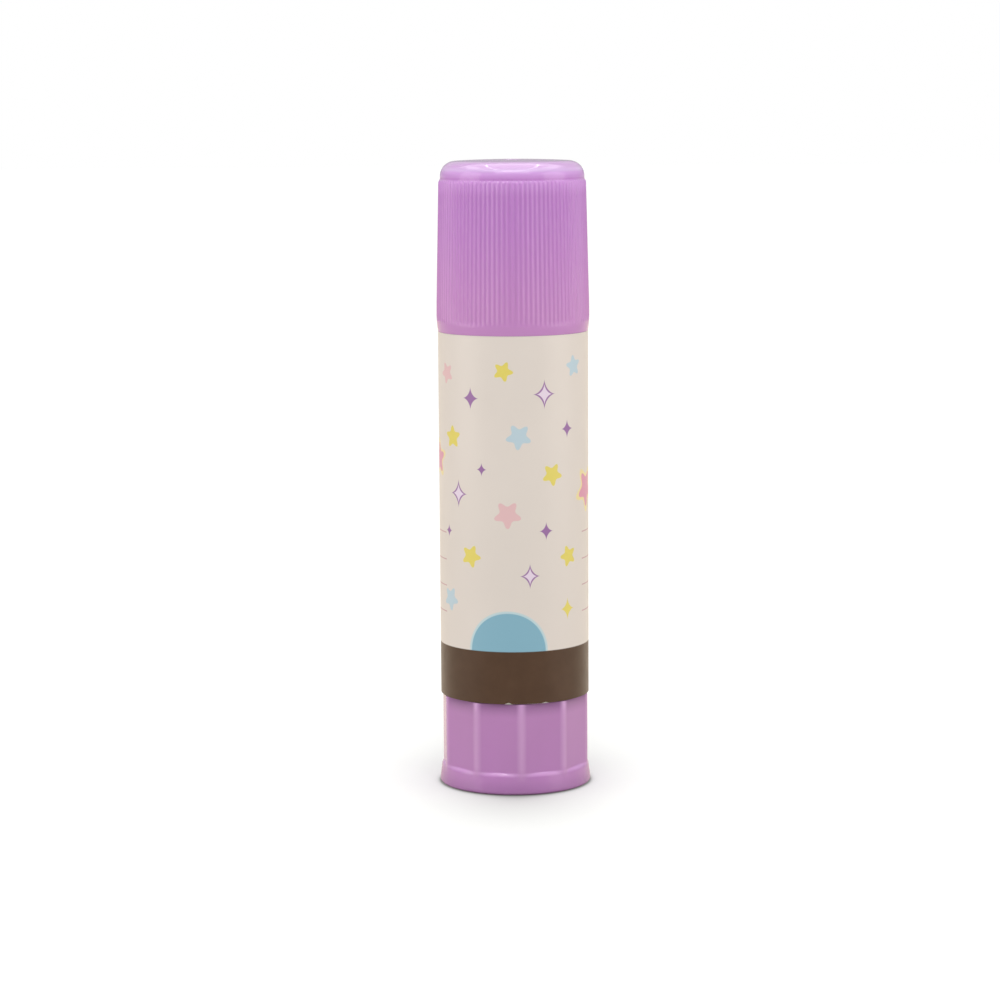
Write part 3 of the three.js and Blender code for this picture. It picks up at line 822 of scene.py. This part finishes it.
def knob_material():
    """Lavender with painted shade on the foot, a painted highlight on the ledge and along the ridges, and
    painted shade where the wall meets the label.
    """
    below_ledge = FLANGE_TOP - 0.3
    on_ledge = FLANGE_TOP + 0.15
    over_ledge = FLANGE_TOP + 0.45
    # The foot's two colours are painted shade near the floor, the ledge's a painted highlight, and the top
    # one painted shade under the label's edge
    tints = [
        (KNOB_LOW, KNOB_FOOT_PAINTED_SHADE),
        (FOOT_SHADE, KNOB_FLANGE_PAINTED_SHADE),
        (below_ledge, KNOB_SIDE),
        (on_ledge, KNOB_LEDGE_PAINTED_HIGHLIGHT),
        (over_ledge, KNOB_SIDE),
        (KNOB_TOP - SEAM_SHADE, KNOB_WALL_TINT),
        (KNOB_TOP, KNOB_SEAM_PAINTED_SHADE),
    ]
    return moulded_plastic("knob_lavender", tints, roughness=0.18, glow=0.2, crest_highlight=KNOB_CREST_PAINTED_HIGHLIGHT)


def barrel_material():
    """Smooth off-white of the barrel."""
    tints = [(BARREL_LOW, BARREL_FOOT_WHITE), (MOUTH, MOUTH_WHITE)]
    return moulded_plastic("barrel_white", tints, roughness=0.33, glow=0.3)


def inner_material():
    """Plain white of the spindle and the carrier."""
    tints = [(STEM_LOW, STEM_WHITE), (TIP, TIP_WHITE)]
    return moulded_plastic("inner_white", tints, roughness=0.36, glow=0.2)


def printed(g, inside, edge=PRINT_EDGE):
    """1 where the distance inside a printed outline is positive and 0 outside, with a soft edge between."""
    return g.math("MULTIPLY_ADD", inside, edge, 0.5, clamp=True)


def inside_star(g, across, up, source):
    """Distance inside a plump star with five points, whose tips and hollows swing about a middle circle."""
    points = 5.0
    middle = 0.77
    swing = 0.2
    sharper = 0.03
    turn = g.math("ADD", g.math("ARCTAN2", up, across), source["Turn"])
    wave = g.math("MULTIPLY_ADD", g.math("COSINE", g.math("MULTIPLY", turn, points)), swing, middle)
    tips = g.math("MULTIPLY_ADD", g.math("COSINE", g.math("MULTIPLY", turn, 2 * points)), sharper, wave)
    return g.math("SUBTRACT", g.math("MULTIPLY", source["Size"], tips), g.length(across, up))


def inside_sparkle(g, across, up, source):
    """Distance inside a four-pointed sparkle with hollow sides, taller than wide."""
    slimness = 0.8
    hollow = 0.6
    width = g.math("MULTIPLY", source["Size"], slimness)
    side = g.math("POWER", g.math("DIVIDE", g.math("ABSOLUTE", across), width), hollow)
    rise = g.math("POWER", g.math("DIVIDE", g.math("ABSOLUTE", up), source["Size"]), hollow)
    far = g.math("POWER", g.math("ADD", side, rise), 1 / hollow)
    return g.math("MULTIPLY", g.math("SUBTRACT", 1.0, far), g.math("MULTIPLY", source["Size"], 0.5))


def ornament_group(name, inside):
    """Node group for one printed ornament at a place on the unrolled label, in millimetres."""
    group = bpy.data.node_groups.new(name, "ShaderNodeTree")
    for socket in ("U", "V", "Centre U", "Centre V", "Size", "Turn"):
        group.interface.new_socket(socket, in_out="INPUT", socket_type="NodeSocketFloat")
    group.interface.new_socket("Mask", in_out="OUTPUT", socket_type="NodeSocketFloat")
    g = Graph(group)
    source = g.add("NodeGroupInput").outputs
    across = g.math("SUBTRACT", source["U"], source["Centre U"])
    up = g.math("SUBTRACT", source["V"], source["Centre V"])
    g.add("NodeGroupOutput", {"Mask": printed(g, inside(g, across, up, source))})
    return group


def print_ornaments(g, color, across, up):
    """Stars and sparkles over the colour given. An outline has a pale middle, and a badge a cream rim."""
    star = ornament_group("print_star", inside_star)
    sparkle = ornament_group("print_sparkle", inside_sparkle)

    def stamp(color, group, u, v, size, turn, ink):
        inputs = {"U": across, "V": up, "Centre U": u, "Centre V": v, "Size": size, "Turn": turn}
        mask = g.add("ShaderNodeGroup", inputs, node_tree=group).outputs["Mask"]
        return g.mix(mask, color, ink)

    for kind, u, v, size, turn, ink in ORNAMENTS:
        if kind == "badge":
            color = stamp(color, star, u, v, size * BADGE_REACH, turn, CREAM)
        group = star if kind in ("star", "badge") else sparkle
        color = stamp(color, group, u, v, size, turn, ink)
        if kind == "outline":
            color = stamp(color, sparkle, u, v, size * OUTLINE_INSIDE, turn, PALE_VIOLET)
    return color


def print_rules(g, color, across, up):
    """Thin rules near the label's sides, over the colour given."""
    aside = printed(g, g.math("SUBTRACT", g.math("ABSOLUTE", across), RULE_START))
    for height in RULE_HEIGHTS:
        off = g.math("ABSOLUTE", g.math("SUBTRACT", up, height))
        thin = printed(g, g.math("SUBTRACT", RULE_HALF_WIDTH, off), RULE_EDGE)
        color = g.mix(g.math("MULTIPLY", thin, aside), color, RULE)
    return color


def print_disc_and_band(g, color, across, up):
    """A blue disc with a pale rim, and the dark band that covers its lower half, over the colour given."""
    reach = g.length(g.math("SUBTRACT", across, DISC_PLACE), g.math("SUBTRACT", up, BAND_TOP))
    halo = printed(g, g.math("SUBTRACT", DISC_RADIUS + HALO_WIDTH, reach), HALO_EDGE)
    disc = printed(g, g.math("SUBTRACT", DISC_RADIUS, reach))
    band = printed(g, g.math("SUBTRACT", BAND_TOP, up))
    worn = g.between(g.noise(300, detail=4), 0, 1)
    color = g.mix(disc, g.mix(halo, color, HALO_BLUE), DISC_BLUE)
    return g.mix(band, color, g.mix(worn, BAND_BROWN, BAND_WORN))


def label_material():
    """Printed film: pastel ornaments, a plain half disc and a dark band on warm white, under a soft gloss."""
    g = Surface("label_print")
    axes = g.axes()
    half_round = math.pi * LABEL_RADIUS
    unrolled = g.math("MULTIPLY", g.turn_round(axes), LABEL_RADIUS)
    across = g.math("WRAP", unrolled, half_round / 2, -half_round / 2)
    up = g.math("MULTIPLY", axes[2], 1 / MM)
    color = g.mix(g.between(g.noise(60), 0, 1), FILM_WHITE, FILM_SHADE)
    color = print_ornaments(g, color, across, up)
    color = print_rules(g, color, across, up)
    color = print_disc_and_band(g, color, across, up)
    skin = g.bump(g.noise(4000, detail=2), SKIN_RELIEF)
    g.shade({
        "Base Color": color,
        "Roughness": g.between(g.noise(700), 0.29, 0.38),
        "Normal": g.bump(g.noise(110, detail=2, stretch=(1, 1, 0.3)), FILM_RELIEF, skin),
        "IOR": FILM_IOR,
    })
    return g.material


def glue_material():
    """Waxy white adhesive with faint cloudiness and shallow drag marks."""
    g = Surface("glue_wax")
    clouds = g.between(g.noise(240, detail=4), 0, 1)
    g.shade({
        "Base Color": g.mix(clouds, GLUE_WHITE, GLUE_CLOUD),
        "Roughness": g.between(g.noise(500), 0.38, 0.55),
        "Normal": g.bump(g.noise(900, detail=4, stretch=(1, 1, 0.35)), WAX_RELIEF),
        "Subsurface Weight": 0.6,
        "Subsurface Radius": WAX_SPREAD,
        "Subsurface Scale": 1.0,
    })
    return g.material


def dress(piece, body, slot, material, *replaced):
    """Gives a piece its finish and its body, and hides the CAD nodes that it stands for."""
    piece.data.materials.clear()
    piece.data.materials.append(material)
    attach(piece, body)
    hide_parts(*replaced)


def add_camera():
    """Camera at the photograph's place: above the top of the cap and looking a little down."""
    distance = 432.4
    height = 99.4
    pitch = math.radians(7.8)
    roll = math.radians(-0.36)
    yaw = math.radians(0.26)
    data = bpy.data.cameras.new("camera")
    data.sensor_width = 36
    data.lens = 111.42
    data.clip_start = 0.01
    camera = add_object("camera", data)
    turn = Matrix.Rotation(yaw, 4, "Z") @ Matrix.Rotation(math.pi / 2 - pitch, 4, "X")
    turn = turn @ Matrix.Rotation(roll, 4, "Z")
    camera.matrix_world = Matrix.Translation((0, -distance * MM, height * MM)) @ turn
    bpy.context.scene.camera = camera


def hang_lamp(name, pose, size, radiance, color=WHITE, disc=False):
    """A flat lamp with the pose given, whose power for each area, over pi, is the radiance."""
    area = size[0] * size[1] * MM * MM
    data = bpy.data.lights.new(name, "AREA")
    data.shape = "RECTANGLE"
    if disc:
        data.shape = "DISK"
        area *= math.pi / 4
    data.color = color
    data.size = size[0] * MM
    data.size_y = size[1] * MM
    data.energy = radiance * math.pi * area
    lamp = add_object(name, data)
    lamp.matrix_world = pose
    return lamp


def hang_gloss_lamp(name, pose, size, radiance, disc=False):
    """A flat lamp that shows in reflections and sheds no light on dull surfaces."""
    lamp = hang_lamp(name, pose, size, radiance, disc=disc)
    lamp.visible_diffuse = False


def aimed(place, target):
    """Pose of a lamp that faces a target."""
    origin = Vector(place) * MM
    aim = Vector(target) * MM - origin
    return Matrix.Translation(origin) @ aim.to_track_quat("-Z", "Y").to_matrix().to_4x4()


def aimed_down(x, y, z):
    """Pose of a lamp that faces down, to a millimetre behind its place, which squares it with X and Y."""
    return aimed((x, y, z), (x, y + 1, 0))


def hang_strip(start, end):
    """A thin bright strip over the stick, between two places of the overhead lamp's rim."""
    span = Vector(end) - Vector(start)
    middle = (Vector(start) + Vector(end)) / 2
    spin = Matrix.Rotation(math.atan2(span.y, span.x), 4, "Z")
    pose = Matrix.Translation(Vector((middle.x, middle.y, STRIP_HEIGHT)) * MM) @ spin
    hang_gloss_lamp("overhead_rim", pose, (span.length, STRIP_WIDTH), STRIP_RADIANCE)


def add_lamps():
    """Warm boxes at the sides and a box in front light the stick, and the rest show in its gloss alone."""
    front_corner, side_corner, back_corner = (104, -140), (118, 0), (84, 160)
    for side in (-1, 1):
        beside = aimed((side * 380, -123, 165), (0, 0, 165))
        above = aimed_down(side * 230, 110, OVERHEAD_HEIGHT)
        hang_lamp("side_box", beside, size=(280, 330), radiance=1.8, color=WARM)
        hang_gloss_lamp("high_box", above, size=(120, 260), radiance=1.5)
        corners = [(side * x, y) for x, y in (front_corner, side_corner, back_corner)]
        hang_strip(corners[0], corners[1])
        hang_strip(corners[1], corners[2])
    edge = aimed((0, -238, 385), (0, 0, AIM_HEIGHT))
    before = aimed((0, -270, 370), (0, 0, AIM_HEIGHT))
    ceiling = aimed_down(0, 0, CEILING_HEIGHT)
    over = aimed_down(0, 60, OVERHEAD_HEIGHT)
    over_front = aimed_down(0, -132, OVERHEAD_HEIGHT)
    hang_gloss_lamp("overhead_edge", edge, size=(160, 55), radiance=3.0)
    hang_lamp("front_box", before, size=(350, 180), radiance=2.3)
    hang_gloss_lamp("ceiling", ceiling, size=(560, 560), radiance=2.0, disc=True)
    hang_gloss_lamp("overhead", over, size=(180, 260), radiance=0.9)
    hang_gloss_lamp("overhead_front", over_front, size=(180, 124), radiance=0.05)


def floor_material():
    """Pale floor that goes to white away from the stick, with a painted soft shadow and a thin painted
    contact shadow.
    """
    g = Surface("floor_pale")
    g.shade({"Roughness": 1.0, "Specular IOR Level": 0.0})
    shadow_start = 3.2 * MM
    shadow_length = 10 * MM
    shadow_share = 0.45
    shadow_depth = 0.55
    contact_length = 0.25 * MM
    contact_share = 0.22
    contact_depth = 0.6
    open_glow = 0.68
    pale = (0.49, 0.5, 0.485, 1)
    black = (0, 0, 0, 1)
    white = (1, 1, 1, 1)
    warm = (1, 0.78, 0.5, 1)

    def away(share):
        """Distance from the stick's axis, in which the part along Y counts for the share given."""
        scale = {0: g.place(), 1: (1.0, share, 1.0)}
        oval = g.add("ShaderNodeVectorMath", scale, operation="MULTIPLY").outputs[0]
        return g.add("ShaderNodeVectorMath", {0: oval}, operation="LENGTH").outputs["Value"]

    def falling(distance, length):
        """A share that falls with distance, by the factor e over each length."""
        return g.math("EXPONENT", g.math("MULTIPLY", distance, -1 / length))

    outside = g.math("SUBTRACT", 1.0, g.math("DIVIDE", FLANGE_RADIUS * MM, away(1.0)))
    gap = g.math("MULTIPLY", away(contact_share), outside)
    # Painted soft shadow: the floor's glow is lowered near the stick, and reaches farther out in front than
    # at the sides
    shadow = falling(g.math("SUBTRACT", away(shadow_share), shadow_start), shadow_length)
    # Painted contact shadow: a thin dark line in the floor's colour and glow along the foot's edge
    contact = falling(g.math("MAXIMUM", gap, 0.0), contact_length)
    open_share = g.math("MULTIPLY_ADD", contact, -contact_depth, 1.0)
    lift = g.math("MULTIPLY", g.math("MULTIPLY_ADD", shadow, -shadow_depth, open_glow), open_share)
    tint = g.mix(g.add("ShaderNodeLightPath").outputs["Is Glossy Ray"], white, warm)
    strength = g.math("MULTIPLY", g.seen_rays(1.0), lift)
    glow = g.add("ShaderNodeEmission", {"Color": tint, "Strength": strength})
    g.shade({"Base Color": g.mix(open_share, black, pale)})
    both = g.add("ShaderNodeAddShader", {0: g.shader.outputs[0], 1: glow.outputs[0]})
    g.set(g.tree.nodes["Material Output"].inputs["Surface"], both.outputs[0])
    return g.material


def add_floor():
    """Wide floor on which the stick stands."""
    half = 3.0
    corners = [(-half, -half, 0), (half, -half, 0), (half, half, 0), (-half, half, 0)]
    mesh = bpy.data.meshes.new("floor")
    mesh.from_pydata(corners, [], [(0, 1, 2, 3)])
    mesh.materials.append(floor_material())
    add_object("floor", mesh)


def set_world():
    """White to the camera, softer as light, and in reflections softer still in a belt over the horizon."""
    light_level = 0.75
    belt_depth = 0.3
    belt_start = (0.0, 0.012)
    belt_end = (0.3, 0.12)
    world = bpy.data.worlds.new("studio")
    bpy.context.scene.world = world
    world.use_nodes = True
    g = Graph(world.node_tree)
    plain = g.math("MULTIPLY_ADD", g.seen_rays(0.0), 1 - light_level, light_level)
    rise = g.add("ShaderNodeSeparateXYZ", {0: g.add("ShaderNodeTexCoord").outputs["Generated"]}).outputs[2]
    inside = g.math("MULTIPLY", g.spread(rise, *belt_start), g.spread(rise, *belt_end))
    belt = g.math("MULTIPLY", inside, g.add("ShaderNodeLightPath").outputs["Is Glossy Ray"])
    background = g.tree.nodes["Background"].inputs
    background["Color"].default_value = (1, 1, 1, 1)
    g.set(background["Strength"], g.math("MULTIPLY_ADD", belt, -belt_depth, plain))


cap_plastic = cap_material()
knob_plastic = knob_material()
barrel_plastic = barrel_material()
inner_plastic = inner_material()

dress(make_cap(), "cap", "cap_plastic", cap_plastic, "cap")
dress(make_knob(), "knob", "knob_plastic", knob_plastic, "base_knob")
for index in range(SPOKES):
    dress(make_spoke(2 * math.pi * index / SPOKES), "knob", "knob_plastic", knob_plastic)
dress(make_barrel(), "barrel", "barrel_plastic", barrel_plastic, "barrel")
dress(make_label(), "barrel", "label_film", label_material(), "label")
dress(make_glue(), "carrier", "glue", glue_material(), "glue_stick")
for node in ("spindle", "carrier"):
    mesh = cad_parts[node].data
    mesh.materials.clear()
    mesh.materials.append(inner_plastic)

add_camera()
add_lamps()
add_floor()
set_world()
bpy.context.scene.view_settings.view_transform = "Standard"
